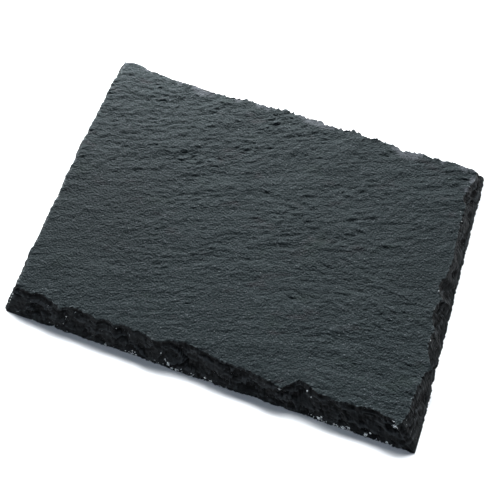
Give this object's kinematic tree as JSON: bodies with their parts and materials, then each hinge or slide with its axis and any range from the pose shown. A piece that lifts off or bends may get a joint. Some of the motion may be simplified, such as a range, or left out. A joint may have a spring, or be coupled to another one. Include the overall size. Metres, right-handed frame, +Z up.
{
  "type": "slate slab",
  "caption": "Rectangular slab of riven slate with hand-dressed, bevelled and chipped edges, lying flat as a board, trivet or display base.",
  "frame": {"origin": "middle of the bounding box's base, on the flat lower face", "axes": "+X along the long edges, +Y towards the long edge with the narrow bevel, +Z up out of the riven face"},
  "size_m": [0.2164, 0.1548, 0.01],
  "materials": {
    "slate": "riven, dry and matt"
  },
  "bodies": {
    "root": {"slate_slab": "slate"}
  },
  "joints": []
}
